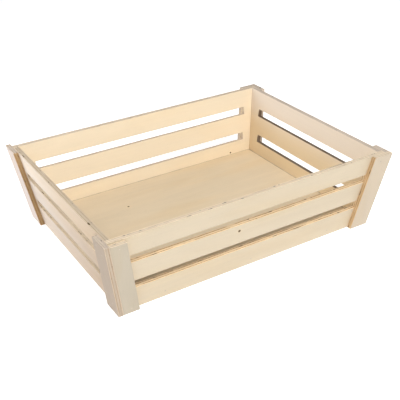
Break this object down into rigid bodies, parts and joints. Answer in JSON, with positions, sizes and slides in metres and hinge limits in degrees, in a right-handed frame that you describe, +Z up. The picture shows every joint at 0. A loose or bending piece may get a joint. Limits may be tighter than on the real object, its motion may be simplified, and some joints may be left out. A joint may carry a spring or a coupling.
{
  "type": "apple crate",
  "caption": "Open fruit crate of thin plywood: outward-leaning walls with long air slots, boards lapped at the corners and a flat floor.",
  "frame": {"origin": "on the ground under the centre of the crate", "axes": "+Z up through the open top; X along the crate's long side; the front wall faces -Y"},
  "size_m": [0.4, 0.3, 0.106],
  "materials": {
    "wall_plywood": "bare pale veneer",
    "floor_plywood": "bare pale veneer",
    "board_plywood": "bare pale veneer",
    "brad_steel": "dull"
  },
  "bodies": {
    "root": {"front_wall": "wall_plywood", "right_wall": "wall_plywood", "back_wall": "wall_plywood", "left_wall": "wall_plywood", "floor_panel": "floor_plywood", "front_board_left": "board_plywood", "front_board_right": "board_plywood", "right_board_front": "board_plywood", "right_board_back": "board_plywood", "back_board_right": "board_plywood", "back_board_left": "board_plywood", "left_board_back": "board_plywood", "left_board_front": "board_plywood", "front_left_corner_brads": "brad_steel", "front_right_corner_brads": "brad_steel", "back_right_corner_brads": "brad_steel", "back_left_corner_brads": "brad_steel", "front_floor_brads": "brad_steel", "right_floor_brads": "brad_steel", "back_floor_brads": "brad_steel", "left_floor_brads": "brad_steel"}
  },
  "joints": []
}
